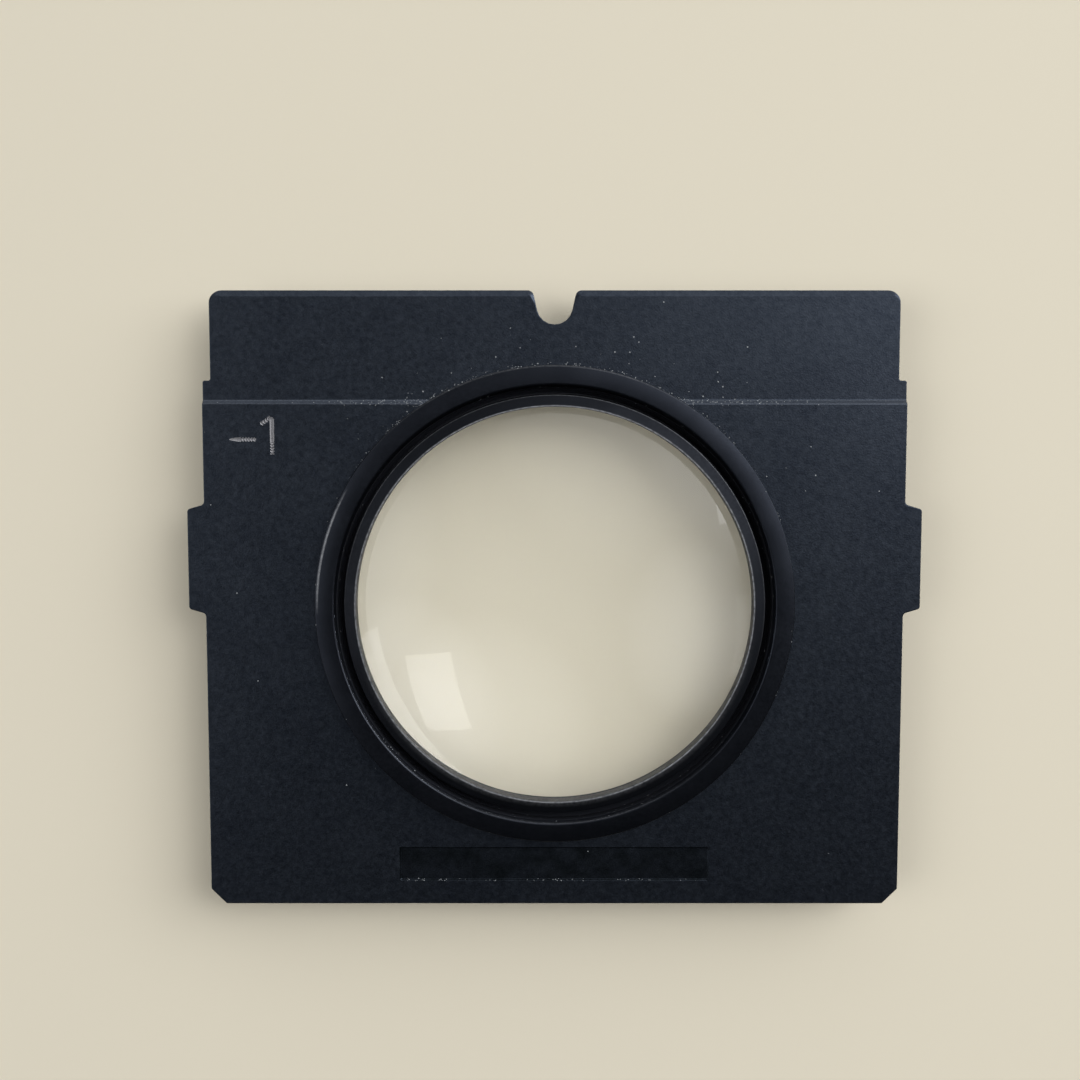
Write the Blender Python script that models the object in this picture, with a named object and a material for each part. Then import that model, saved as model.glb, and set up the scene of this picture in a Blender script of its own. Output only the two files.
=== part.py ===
"""Magnifier lens plate for a folding focusing hood, lying on its back with its front up.

A black plate carries a turned lens mount. A glass lens drops into the mount from the front
and a thin ring holds it down. Metres, +Z up. The plate's tongue points along +Y.
"""

import math

import bmesh
import bpy
from mathutils import Vector

MM = 0.001

# Fits
FIT = 0.05 * MM  # pieces that seat on or in each other
LENS_PLAY = 0.1 * MM  # lens edge to its bore

# Lens
LENS_RADIUS = 14.9 * MM
LENS_EDGE = 1.2 * MM
LENS_FRONT_CURVE = 70.0 * MM
LENS_REAR_CURVE = 52.0 * MM
REAR_GUARD = 0.3 * MM  # how far the mount's rear rim stands past the lens

# Lens mount
SEAT_WIDTH = 0.7 * MM
BARREL_WALL = 1.35 * MM
BARREL_DEPTH = 2.6 * MM  # how far it stands out behind the plate
BARREL_CHAMFER = 0.25 * MM
FLANGE_OVERHANG = 0.65 * MM
FLANGE_HEIGHT = 1.45 * MM
FLANGE_CROWN = math.radians(12)  # slope of its rounded top at the rim
FLANGE_RIM = 0.1 * MM  # bevel round the rim
LIP_WIDTH = 0.26 * MM  # bevel towards the groove
GROOVE_WIDTH = 0.46 * MM

# Retaining ring
RING_WIDTH = 0.86 * MM
RING_GRIP = 0.3 * MM  # how much of it sits in the lens bore
RING_HEIGHT = 1.32 * MM  # its top above the lens's edge
RING_SLOPE = 0.22 * MM  # fall of its outer face
RING_LAND = 0.12 * MM  # flat left at its inner edge

# Plate, with margins measured from the flange's edge
SIDE_MARGIN = 8.0 * MM
TOP_MARGIN = 5.3 * MM
BOTTOM_MARGIN = 5.0 * MM
TONGUE_THICKNESS = 0.9 * MM
STEP_HEIGHT = 0.3 * MM
STEP_RAMP = 0.29 * MM
STEP_FROM_TOP = 8.0 * MM  # where the body's full thickness ends
TONGUE_INSET = 0.55 * MM
SHOULDER_FROM_TOP = 6.35 * MM
TONGUE_CORNER = 0.9 * MM
LEAD_IN_WIDTH = 0.5 * MM
LEAD_IN_DEPTH = 0.25 * MM
BOTTOM_CHAMFER = 1.1 * MM

# Catch notch in the tongue
NOTCH_DEPTH = 2.4 * MM
NOTCH_RADIUS = 1.27 * MM
NOTCH_FLARE = math.radians(13)
NOTCH_MOUTH_RADIUS = 0.45 * MM

# Side lugs
LUG_REACH = 1.2 * MM
LUG_TIP_LENGTH = 7.14 * MM
LUG_FLANK = 0.36 * MM  # how much further the root runs than the tip, at each end
LUG_ABOVE_LENS = 3.24 * MM
LUG_TIP_RADIUS = 0.25 * MM
LUG_ROOT_RADIUS = 0.3 * MM

# Shallow panel below the lens
PANEL_WIDTH = 22.4 * MM
PANEL_HEIGHT = 2.4 * MM
PANEL_DEPTH = 0.15 * MM
PANEL_FROM_BOTTOM = 2.95 * MM

# Smoothness of the round shapes, and how far a cutter runs past what it cuts
SEGMENTS = 72
ARC_STEPS = 5
CROWN_STEPS = 5
LENS_STEPS = 6
OVERRUN = 1.0 * MM


def dome(curve, radius):
    """Height of a lens surface above its own edge, at a distance from the axis."""
    return math.sqrt(curve**2 - radius**2) - math.sqrt(curve**2 - LENS_RADIUS**2)


# Radii worked out from the lens outwards
LENS_BORE = LENS_RADIUS + LENS_PLAY
APERTURE = LENS_RADIUS - SEAT_WIDTH
RING_RADIUS = LENS_BORE - FIT
RING_BORE = RING_RADIUS - RING_WIDTH
GROOVE_RADIUS = LENS_BORE + GROOVE_WIDTH
BARREL_RADIUS = LENS_BORE + BARREL_WALL
FLANGE_RADIUS = BARREL_RADIUS + FLANGE_OVERHANG

# Heights worked out from the rear rim upwards
LENS_REAR_Z = REAR_GUARD + dome(LENS_REAR_CURVE, 0)
LENS_FRONT_Z = LENS_REAR_Z + LENS_EDGE
PLATE_BACK_Z = BARREL_DEPTH
TONGUE_FRONT_Z = PLATE_BACK_Z + TONGUE_THICKNESS
PLATE_FRONT_Z = TONGUE_FRONT_Z + STEP_HEIGHT
FLANGE_UNDER_Z = PLATE_FRONT_Z + FIT
FLANGE_TOP_Z = FLANGE_UNDER_Z + FLANGE_HEIGHT
GROOVE_FLOOR_Z = LENS_FRONT_Z + RING_GRIP
RING_TOP_Z = LENS_FRONT_Z + RING_HEIGHT

# Plate outline, with the origin under the middle of its length
BODY_HALF = FLANGE_RADIUS + SIDE_MARGIN
TONGUE_HALF = BODY_HALF - TONGUE_INSET
TOP_Y = FLANGE_RADIUS + (TOP_MARGIN + BOTTOM_MARGIN) / 2
BOTTOM_Y = -TOP_Y
LENS_Y = (BOTTOM_MARGIN - TOP_MARGIN) / 2
STEP_Y = TOP_Y - STEP_FROM_TOP
SHOULDER_Y = TOP_Y - SHOULDER_FROM_TOP
LUG_Y = LENS_Y + LUG_ABOVE_LENS
PANEL_Y = BOTTOM_Y + PANEL_FROM_BOTTOM


def clear_scene():
    for old in list(bpy.data.objects):
        bpy.data.objects.remove(old, do_unlink=True)


def finish_material(name, colour, roughness, metallic=0.0, transmission=0.0):
    material = bpy.data.materials.new(name)
    material.use_nodes = True
    shader = material.node_tree.nodes["Principled BSDF"]
    shader.inputs["Base Color"].default_value = (*colour, 1.0)
    shader.inputs["Roughness"].default_value = roughness
    shader.inputs["Metallic"].default_value = metallic
    shader.inputs["Transmission Weight"].default_value = transmission
    return material


def new_object(name, mesh_data, material=None):
    """Turns a bmesh into a named object with outward faces."""
    bmesh.ops.recalc_face_normals(mesh_data, faces=mesh_data.faces)
    mesh = bpy.data.meshes.new(name)
    mesh_data.to_mesh(mesh)
    mesh_data.free()
    part = bpy.data.objects.new(name, mesh)
    bpy.context.scene.collection.objects.link(part)
    if material:
        mesh.materials.append(material)
    return part


def shade_round(part):
    part.data.shade_smooth()
    part.data.set_sharp_from_angle(angle=math.radians(30))


def turned(name, profile, material=None):
    """Turns a closed profile of (radius, height) points about +Z. A radius of 0 is a pole."""
    mesh_data = bmesh.new()
    rings = []
    for radius, height in profile:
        if radius == 0:
            rings.append([mesh_data.verts.new((0, 0, height))] * SEGMENTS)
            continue
        angles = [math.tau * step / SEGMENTS for step in range(SEGMENTS)]
        rings.append(
            [
                mesh_data.verts.new((radius * math.cos(a), radius * math.sin(a), height))
                for a in angles
            ]
        )
    for index, ring in enumerate(rings):
        following = rings[(index + 1) % len(rings)]
        if ring[0] is ring[1] and following[0] is following[1]:
            continue
        for step in range(SEGMENTS):
            beside = (step + 1) % SEGMENTS
            corners = [ring[step], ring[beside], following[beside], following[step]]
            mesh_data.faces.new(list(dict.fromkeys(corners)))
    part = new_object(name, mesh_data, material)
    shade_round(part)
    return part


def prism(name, outline, direction, material=None):
    """Extrudes a closed outline of 3-D points."""
    mesh_data = bmesh.new()
    base = mesh_data.faces.new([mesh_data.verts.new(point) for point in outline])
    swept = bmesh.ops.extrude_face_region(mesh_data, geom=[base])["geom"]
    moved = [item for item in swept if isinstance(item, bmesh.types.BMVert)]
    bmesh.ops.translate(mesh_data, verts=moved, vec=direction)
    return new_object(name, mesh_data, material)


def cutter(part):
    part.hide_render = True
    part.display_type = "WIRE"
    return part


def cut(part, tool):
    modifier = part.modifiers.new(f"cut_{tool.name}", "BOOLEAN")
    modifier.operation = "DIFFERENCE"
    modifier.solver = "EXACT"
    modifier.object = tool


def rounded_outline(corners):
    """Points of a flat outline whose (x, y, radius) corners are rounded by arcs."""
    points = []
    for index, (x, y, radius) in enumerate(corners):
        corner = Vector((x, y))
        if radius == 0:
            points.append(corner)
            continue
        before = (Vector(corners[index - 1][:2]) - corner).normalized()
        after = (Vector(corners[(index + 1) % len(corners)][:2]) - corner).normalized()
        half_angle = before.angle(after) / 2
        middle = (before + after).normalized()
        centre = corner + middle * (radius / math.sin(half_angle))
        start = corner + before * (radius / math.tan(half_angle)) - centre
        end = corner + after * (radius / math.tan(half_angle)) - centre
        for step in range(ARC_STEPS + 1):
            spoke = start.lerp(end, step / ARC_STEPS)
            points.append(centre + spoke.normalized() * radius)
    return points


def plate_outline():
    """The plate from above: chamfered foot, lugs, shoulders, tongue and flared notch."""
    notch_centre_y = TOP_Y - NOTCH_DEPTH + NOTCH_RADIUS
    notch_foot_y = notch_centre_y - NOTCH_RADIUS / math.sin(NOTCH_FLARE)
    mouth_half = (TOP_Y - notch_foot_y) * math.tan(NOTCH_FLARE)
    lug_tip = BODY_HALF + LUG_REACH
    lug_half = LUG_TIP_LENGTH / 2
    right_side = [
        (BODY_HALF - BOTTOM_CHAMFER, BOTTOM_Y, 0),
        (BODY_HALF, BOTTOM_Y + BOTTOM_CHAMFER, 0),
        (BODY_HALF, LUG_Y - lug_half - LUG_FLANK, LUG_ROOT_RADIUS),
        (lug_tip, LUG_Y - lug_half, LUG_TIP_RADIUS),
        (lug_tip, LUG_Y + lug_half, LUG_TIP_RADIUS),
        (BODY_HALF, LUG_Y + lug_half + LUG_FLANK, LUG_ROOT_RADIUS),
        (BODY_HALF, SHOULDER_Y, 0),
        (TONGUE_HALF, SHOULDER_Y, 0),
        (TONGUE_HALF, TOP_Y, TONGUE_CORNER),
        (mouth_half, TOP_Y, NOTCH_MOUTH_RADIUS),
    ]
    left_side = [(-x, y, radius) for x, y, radius in reversed(right_side)]
    notch_foot = (0, notch_foot_y, NOTCH_RADIUS)
    return rounded_outline([*right_side, notch_foot, *left_side])


def step_cutter():
    """What the tongue's step takes off the plate's front, outside the mount's round land."""
    across = BODY_HALF + LUG_REACH + OVERRUN
    profile = [
        (STEP_Y + STEP_RAMP, TONGUE_FRONT_Z),
        (TOP_Y + OVERRUN, TONGUE_FRONT_Z),
        (TOP_Y + OVERRUN, PLATE_FRONT_Z + OVERRUN),
        (STEP_Y, PLATE_FRONT_Z + OVERRUN),
        (STEP_Y, PLATE_FRONT_Z),
    ]
    outline = [(-across, y, z) for y, z in profile]
    tool = cutter(prism("tongue_step", outline, (2 * across, 0, 0)))
    land = disc("mount_land", FLANGE_RADIUS, PLATE_BACK_Z, PLATE_FRONT_Z + 2 * OVERRUN)
    cut(tool, land)
    return tool


def lead_in_cutter():
    """The bevel along the tongue's front edge."""
    across = TONGUE_HALF + OVERRUN
    slope = LEAD_IN_DEPTH / LEAD_IN_WIDTH
    profile = [
        (TOP_Y + OVERRUN, TONGUE_FRONT_Z - LEAD_IN_DEPTH - slope * OVERRUN),
        (TOP_Y + OVERRUN, TONGUE_FRONT_Z + slope * OVERRUN),
        (TOP_Y - LEAD_IN_WIDTH - OVERRUN, TONGUE_FRONT_Z + slope * OVERRUN),
    ]
    outline = [(-across, y, z) for y, z in profile]
    return cutter(prism("lead_in", outline, (2 * across, 0, 0)))


def disc(name, radius, low, high):
    """A round cutter on the lens axis."""
    tool = turned(name, [(0, low), (radius, low), (radius, high), (0, high)])
    tool.location.y = LENS_Y
    return cutter(tool)


def panel_cutter():
    low = PLATE_FRONT_Z - PANEL_DEPTH
    left, right = -PANEL_WIDTH / 2, PANEL_WIDTH / 2
    bottom, top = PANEL_Y - PANEL_HEIGHT / 2, PANEL_Y + PANEL_HEIGHT / 2
    outline = [(left, bottom, low), (right, bottom, low), (right, top, low), (left, top, low)]
    return cutter(prism("panel", outline, (0, 0, PANEL_DEPTH + OVERRUN)))


def make_lens_plate(material):
    outline = [(point.x, point.y, PLATE_BACK_Z) for point in plate_outline()]
    plate = prism("lens_plate", outline, (0, 0, PLATE_FRONT_Z - PLATE_BACK_Z), material)
    cut(plate, step_cutter())
    cut(plate, lead_in_cutter())
    bore = disc(
        "mount_bore", BARREL_RADIUS + FIT, PLATE_BACK_Z - OVERRUN, PLATE_FRONT_Z + OVERRUN
    )
    cut(plate, bore)
    cut(plate, panel_cutter())
    return plate


def make_lens_mount(material):
    """Turned ring: barrel, crowned flange, groove, lens bore and seat."""
    lip_radius = GROOVE_RADIUS + LIP_WIDTH
    crown_curve = (FLANGE_RADIUS - FLANGE_RIM - lip_radius) / math.sin(FLANGE_CROWN)
    crown = []
    for step in range(CROWN_STEPS + 1):
        angle = FLANGE_CROWN * (1 - step / CROWN_STEPS)
        fall = crown_curve * (1 - math.cos(angle))
        crown.append((lip_radius + crown_curve * math.sin(angle), FLANGE_TOP_Z - fall))
    rim_z = crown[0][1] - FLANGE_RIM
    profile = [
        (APERTURE, 0),
        (BARREL_RADIUS - BARREL_CHAMFER, 0),
        (BARREL_RADIUS, BARREL_CHAMFER),
        (BARREL_RADIUS, FLANGE_UNDER_Z),
        (FLANGE_RADIUS, FLANGE_UNDER_Z),
        (FLANGE_RADIUS, rim_z),
        *crown,
        (GROOVE_RADIUS, FLANGE_TOP_Z - LIP_WIDTH),
        (GROOVE_RADIUS, GROOVE_FLOOR_Z),
        (LENS_BORE, GROOVE_FLOOR_Z),
        (LENS_BORE, LENS_REAR_Z - FIT),
        (LENS_RADIUS, LENS_REAR_Z - FIT),
        (APERTURE, LENS_REAR_Z - dome(LENS_REAR_CURVE, APERTURE) - FIT),
    ]
    return turned("lens_mount", profile, material)


def make_lens(material):
    rear, front = [], []
    for step in range(LENS_STEPS + 1):
        radius = LENS_RADIUS * step / LENS_STEPS
        rear.append((radius, LENS_REAR_Z - dome(LENS_REAR_CURVE, radius)))
        front.append((radius, LENS_FRONT_Z + dome(LENS_FRONT_CURVE, radius)))
    return turned("lens", [*rear, *reversed(front)], material)


def make_retaining_ring(material):
    profile = [
        (RING_BORE, LENS_FRONT_Z + dome(LENS_FRONT_CURVE, RING_BORE) + FIT),
        (LENS_RADIUS, LENS_FRONT_Z + FIT),
        (RING_RADIUS, LENS_FRONT_Z + FIT),
        (RING_RADIUS, RING_TOP_Z - RING_SLOPE),
        (RING_BORE + RING_LAND, RING_TOP_Z),
        (RING_BORE, RING_TOP_Z),
    ]
    return turned("retaining_ring", profile, material)


def build():
    clear_scene()
    black_plate = finish_material("satin_black_plate", (0.02, 0.022, 0.027), 0.5, 0.3)
    black_mount = finish_material("black_anodised_mount", (0.014, 0.015, 0.018), 0.38, 0.5)
    black_ring = finish_material("black_retaining_ring", (0.012, 0.013, 0.015), 0.35, 0.5)
    glass = finish_material("lens_glass", (0.98, 0.99, 0.98), 0.02, 0.0, 1.0)

    make_lens_plate(black_plate)

    lens_axis = bpy.data.objects.new("lens_axis", None)
    bpy.context.scene.collection.objects.link(lens_axis)
    lens_axis.location.y = LENS_Y
    round_parts = (
        make_lens_mount(black_mount),
        make_lens(glass),
        make_retaining_ring(black_ring),
    )
    for part in round_parts:
        part.parent = lens_axis


build()
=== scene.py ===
import math

import bmesh
import bpy
from mathutils import Matrix, Quaternion, Vector


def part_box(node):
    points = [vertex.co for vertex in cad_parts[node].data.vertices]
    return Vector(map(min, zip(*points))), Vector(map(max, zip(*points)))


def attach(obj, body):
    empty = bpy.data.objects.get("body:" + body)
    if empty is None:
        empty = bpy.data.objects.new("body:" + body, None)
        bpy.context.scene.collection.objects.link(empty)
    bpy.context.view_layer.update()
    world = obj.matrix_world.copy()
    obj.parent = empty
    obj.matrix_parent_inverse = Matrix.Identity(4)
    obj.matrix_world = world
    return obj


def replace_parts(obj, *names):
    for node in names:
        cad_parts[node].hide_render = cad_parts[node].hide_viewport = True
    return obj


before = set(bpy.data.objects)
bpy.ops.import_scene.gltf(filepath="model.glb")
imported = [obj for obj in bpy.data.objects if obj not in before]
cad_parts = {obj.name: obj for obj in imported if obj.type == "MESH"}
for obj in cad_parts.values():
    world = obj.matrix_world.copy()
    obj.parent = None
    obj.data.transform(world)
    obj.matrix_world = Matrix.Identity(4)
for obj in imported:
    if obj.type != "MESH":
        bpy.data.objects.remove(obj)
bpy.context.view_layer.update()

# Magnifier lens plate for a folding focusing hood, lying on its back. Drawn in millimetres, +Z up
# out of its front, +Y towards its notched tongue. Each finished piece is scaled to metres.
MM = 0.001


def frame_box(node):
    """A node's box in millimetres."""
    low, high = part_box(node)
    return low / MM, high / MM


# Sizes read from the frame
PLATE_LOW, PLATE_HIGH = frame_box("lens_plate")
MOUNT_LOW, MOUNT_HIGH = frame_box("lens_mount")
LENS_LOW, LENS_HIGH = frame_box("lens")
RING_HIGH = frame_box("retaining_ring")[1]
TOP_Y = PLATE_HIGH.y
BOTTOM_Y = PLATE_LOW.y
PLATE_BACK_Z = PLATE_LOW.z
PLATE_FRONT_Z = PLATE_HIGH.z
LENS_Y = (MOUNT_LOW.y + MOUNT_HIGH.y) / 2
FLANGE_RADIUS = MOUNT_HIGH.x
FLANGE_TOP_Z = MOUNT_HIGH.z
LENS_RADIUS = LENS_HIGH.x
RING_RADIUS = RING_HIGH.x
RING_TOP_Z = RING_HIGH.z

# Plate
LUG_REACH = 1.2
BODY_HALF = PLATE_HIGH.x - LUG_REACH
TONGUE_HALF = BODY_HALF - 0.55
TONGUE_FRONT_Z = PLATE_FRONT_Z - 0.3
TONGUE_CORNER = 0.9
STEP_Y = TOP_Y - 8.0
STEP_RAMP = 0.29
# Offset of the step's painted highlight lines from the step
STEP_HIGHLIGHT_OFFSET = 0.12
SHOULDER_Y = TOP_Y - 6.35
SHOULDER_RADIUS = 0.15
BOTTOM_CHAMFER = 1.1
CHAMFER_RADIUS = 0.15
EDGE_ROUND = 0.07

# Lead-in bevel along the tongue's front edge
LEAD_IN_WIDTH = 0.5
LEAD_IN_DEPTH = 0.25
LEAD_IN_FADE = 1.6
LEAD_IN_RUN = LEAD_IN_FADE / 4
LEAD_IN_OVER = 0.01

# Catch notch
NOTCH_DEPTH = 2.4
NOTCH_RADIUS = 1.27
NOTCH_FLARE = math.radians(13)
NOTCH_MOUTH_RADIUS = 0.45

# Side lugs
LUG_Y = LENS_Y + 3.24
LUG_TIP_LENGTH = 7.14
LUG_FLANK = 0.36
LUG_TIP_RADIUS = 0.25
LUG_ROOT_RADIUS = 0.3

# Bare panel
PANEL_WIDTH = 22.4
PANEL_HEIGHT = 2.4
PANEL_DEPTH = 0.15
PANEL_Y = BOTTOM_Y + 2.95
PANEL_CORNER = 0.15

# Engraved dioptre mark
MARK_TIP = 0.25
MARK_DEPTH = 0.05
MARK_PITCH = 0.2
MARK_CHATTER = 0.18
MARK_STEPS = 60
TIP_SEGMENTS = 48
MINUS_Y = 11.64
MINUS_LEFT = -23.1
MINUS_RIGHT = -21.19
ONE_X = -20.05
ONE_TOP = 13.21
ONE_BOTTOM = 10.58
FLAG_X = -20.85
FLAG_Y = 12.71

# Turned parts
FIT = 0.05
LENS_PLAY = 0.1
SEAT_WIDTH = 0.7
BARREL_WALL = 1.35
BARREL_CHAMFER = 0.25
FLANGE_CROWN = math.radians(12)
FLANGE_RIM_RADIUS = 0.1
LIP_WIDTH = 0.2
LIP_FALL = 0.36
LIP_SOFT = 0.15
GROOVE_WIDTH = 0.46
GROOVE_VEE = 0.25
RING_WIDTH = 0.86
RING_GRIP = 0.3
RING_SLOPE = 0.22
RING_LAND = 0.12
LENS_FRONT_CURVE = 70.0
LENS_REAR_CURVE = 52.0
LENS_BEVEL = 0.12
SOFT_EDGE = 0.05

# Smoothness
SEGMENTS = 192
ARC_STEPS = 8
BEAD_STEPS = 10
LENS_STEPS = 24
EDGE_STEPS = 4
HARD_EDGE = math.radians(25)
WELD = 0.0001
SLIVER = 0.001
OVERRUN = 1.0

# Camera, from the photograph's vanishing lines
FRAME_PIXELS = 1080
FOCAL_PIXELS = 1400
SENSOR_WIDTH = 36
CAMERA_X = -1.04
CAMERA_Y = 12.84
CAMERA_ABOVE_PLATE = 99.6
CAMERA_TILT = math.radians(-4.8)
CAMERA_NEAREST = 5.0

# Light: the dome's strength, and how far the lamps stand, in metres
DOME_GLOW = 0.075
LAMP_DISTANCE = 0.5

# Floor: half its width in metres, the gap under the mount, and its own glow
FLOOR_HALF = 1.5
FLOOR_GAP = 0.02
FLOOR_GLOW = 0.1


def dome(curve, radius):
    """Height of a lens surface above its own edge, at a distance from the axis."""
    return math.sqrt(curve**2 - radius**2) - math.sqrt(curve**2 - LENS_RADIUS**2)


LENS_BORE = LENS_RADIUS + LENS_PLAY
APERTURE = LENS_RADIUS - SEAT_WIDTH
RING_BORE = RING_RADIUS - RING_WIDTH
GROOVE_RADIUS = LENS_BORE + GROOVE_WIDTH
BARREL_RADIUS = LENS_BORE + BARREL_WALL
LENS_REAR_Z = LENS_LOW.z + dome(LENS_REAR_CURVE, 0)
LENS_FRONT_Z = LENS_HIGH.z - dome(LENS_FRONT_CURVE, 0)
GROOVE_FLOOR_Z = LENS_FRONT_Z + RING_GRIP
FLANGE_UNDER_Z = PLATE_FRONT_Z + FIT


# Mesh helpers

def new_piece(name, data):
    piece = bpy.data.objects.new(name, data)
    bpy.context.scene.collection.objects.link(piece)
    return piece


def solid_from(name, mesh_data):
    """A piece from a bmesh, with its faces outwards."""
    bmesh.ops.recalc_face_normals(mesh_data, faces=mesh_data.faces)
    mesh = bpy.data.meshes.new(name)
    mesh_data.to_mesh(mesh)
    mesh_data.free()
    return new_piece(name, mesh)


def settle(piece):
    """Gives a piece its evaluated mesh and drops its modifiers."""
    depsgraph = bpy.context.evaluated_depsgraph_get()
    evaluated = piece.evaluated_get(depsgraph)
    mesh = bpy.data.meshes.new_from_object(evaluated, preserve_all_data_layers=True, depsgraph=depsgraph)
    piece.modifiers.clear()
    old = piece.data
    piece.data = mesh
    bpy.data.meshes.remove(old)


def face_outwards(piece):
    mesh_data = bmesh.new()
    mesh_data.from_mesh(piece.data)
    bmesh.ops.recalc_face_normals(mesh_data, faces=mesh_data.faces)
    mesh_data.to_mesh(piece.data)
    mesh_data.free()


def clean(piece):
    """Closes hairline gaps and drops slivers that cuts leave."""
    mesh_data = bmesh.new()
    mesh_data.from_mesh(piece.data)
    bmesh.ops.remove_doubles(mesh_data, verts=mesh_data.verts, dist=SLIVER)
    bmesh.ops.dissolve_degenerate(mesh_data, edges=mesh_data.edges, dist=SLIVER)
    mesh_data.to_mesh(piece.data)
    mesh_data.free()


def polyline(name, points):
    """A piece of one open line, for a Geometry Nodes tree to work from."""
    mesh = bpy.data.meshes.new(name)
    mesh.from_pydata(points, [(i, i + 1) for i in range(len(points) - 1)], [])
    return new_piece(name, mesh)


def prism(name, outline, direction):
    """Extrudes a closed outline of 3-D points."""
    mesh_data = bmesh.new()
    base = mesh_data.faces.new([mesh_data.verts.new(point) for point in outline])
    swept = bmesh.ops.extrude_face_region(mesh_data, geom=[base])["geom"]
    moved = [item for item in swept if isinstance(item, bmesh.types.BMVert)]
    bmesh.ops.translate(mesh_data, verts=moved, vec=direction)
    return solid_from(name, mesh_data)


def disc(name, radius, low, high):
    """A round cutter on the lens axis."""
    turns = [math.tau * step / SEGMENTS for step in range(SEGMENTS)]
    outline = [(radius * math.cos(turn), LENS_Y + radius * math.sin(turn), low) for turn in turns]
    return prism(name, outline, (0, 0, high - low))


def corner_arc(before, corner, after, radius):
    """Points of the arc that rounds a corner between two neighbours."""
    back = (before - corner).normalized()
    ahead = (after - corner).normalized()
    half_angle = back.angle(ahead) / 2
    centre = corner + (back + ahead).normalized() * (radius / math.sin(half_angle))
    start = corner + back * (radius / math.tan(half_angle)) - centre
    end = corner + ahead * (radius / math.tan(half_angle)) - centre
    sweep = start.angle(end)
    for step in range(ARC_STEPS + 1):
        share = step / ARC_STEPS
        spoke = start * math.sin((1 - share) * sweep) + end * math.sin(share * sweep)
        yield centre + spoke / math.sin(sweep)


def rounded_outline(corners):
    """Points of a closed outline whose (x, y, radius) corners are rounded by arcs."""
    points = []
    for index, (x, y, radius) in enumerate(corners):
        corner = Vector((x, y))
        if radius == 0:
            points.append(corner)
            continue
        before = Vector(corners[index - 1][:2])
        after = Vector(corners[(index + 1) % len(corners)][:2])
        points.extend(corner_arc(before, corner, after, radius))
    return points


def in_order(piece):
    """Sorts a mesh by place, so that what is made from it comes out the same each run."""
    skew = Vector((1, math.sqrt(2), math.sqrt(3)))
    mesh_data = bmesh.new()
    mesh_data.from_mesh(piece.data)
    mesh_data.verts.sort(key=lambda vert: vert.co.dot(skew))
    mesh_data.verts.index_update()
    spots = [vert.co[:] for vert in mesh_data.verts]
    rings = []
    for face in mesh_data.faces:
        ring = [vert.index for vert in face.verts]
        first = ring.index(min(ring))
        rings.append((ring[first:] + ring[:first], face.material_index))
    rings.sort()
    mesh_data.free()
    piece.data.clear_geometry()
    piece.data.from_pydata(spots, [], [ring for ring, finish in rings])
    for face, (ring, finish) in zip(piece.data.polygons, rings):
        face.material_index = finish


def cut(piece, tool):
    """Cuts a tool out of a piece for good and removes the tool. The cut takes the tool's finish."""
    modifier = piece.modifiers.new("cut", "BOOLEAN")
    modifier.operation = "DIFFERENCE"
    modifier.solver = "EXACT"
    modifier.material_mode = "TRANSFER"
    modifier.object = tool
    settle(piece)
    in_order(piece)
    bpy.data.objects.remove(tool, do_unlink=True)


def soften(piece, width):
    """Rounds a piece's edges."""
    bevel = piece.modifiers.new("edges", "BEVEL")
    bevel.width = width
    bevel.segments = EDGE_STEPS
    bevel.limit_method = "ANGLE"
    bevel.angle_limit = HARD_EDGE
    settle(piece)


def shade(piece):
    """Smooth shading that keeps flats flat and hard edges hard."""
    piece.data.shade_smooth()
    piece.data.set_sharp_from_angle(angle=HARD_EDGE)
    flats = piece.modifiers.new("flats", "WEIGHTED_NORMAL")
    flats.keep_sharp = True
    settle(piece)


def hand_over(piece, node, body):
    """Scales a finished piece to metres and puts it in a node's place."""
    piece.data.transform(Matrix.Scale(MM, 4))
    piece.data.name = piece.name
    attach(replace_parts(piece, node), body)


# Node helpers, for shaders and Geometry Nodes alike

def add(tree, kind, sockets=None, **settings):
    """A new node. A socket given another node's output is linked to it, any other value is set."""
    node = tree.nodes.new(kind)
    for name, value in settings.items():
        setattr(node, name, value)
    for name, value in (sockets or {}).items():
        if isinstance(value, bpy.types.NodeSocket):
            tree.links.new(value, node.inputs[name])
        else:
            node.inputs[name].default_value = value
    return node


def maths(tree, operation, *values):
    return add(tree, "ShaderNodeMath", dict(enumerate(values)), operation=operation).outputs[0]


def product(tree, first, *others):
    for value in others:
        first = maths(tree, "MULTIPLY", first, value)
    return first


def nodes_tree(name, inputs):
    """A new Geometry Nodes tree with named inputs. Returns it with its inputs and its last node."""
    tree = bpy.data.node_groups.new(name, "GeometryNodeTree")
    for label, kind in inputs.items():
        tree.interface.new_socket(label, in_out="INPUT", socket_type=kind)
    tree.interface.new_socket("Solid", in_out="OUTPUT", socket_type="NodeSocketGeometry")
    return tree, tree.nodes.new("NodeGroupInput").outputs, tree.nodes.new("NodeGroupOutput")


def end_tree(tree, given, last, geometry):
    """Ends a tree in Realize Instances and Set Material."""
    real = add(tree, "GeometryNodeRealizeInstances", {"Geometry": geometry}).outputs[0]
    coated = add(tree, "GeometryNodeSetMaterial", {"Geometry": real, "Material": given["Finish"]})
    tree.links.new(coated.outputs[0], last.inputs["Solid"])
    return tree


def shaped_by(piece, tree, inputs):
    """Runs a tree on a piece, with each input set by its socket's identifier."""
    modifier = piece.modifiers.new(tree.name, "NODES")
    modifier.node_group = tree
    for item in tree.interface.items_tree:
        if item.in_out == "INPUT" and item.name in inputs:
            modifier[item.identifier] = inputs[item.name]
    settle(piece)
    piece.data.materials.clear()
    piece.data.materials.append(inputs["Finish"])
    return piece


# Geometry Nodes trees

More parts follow.
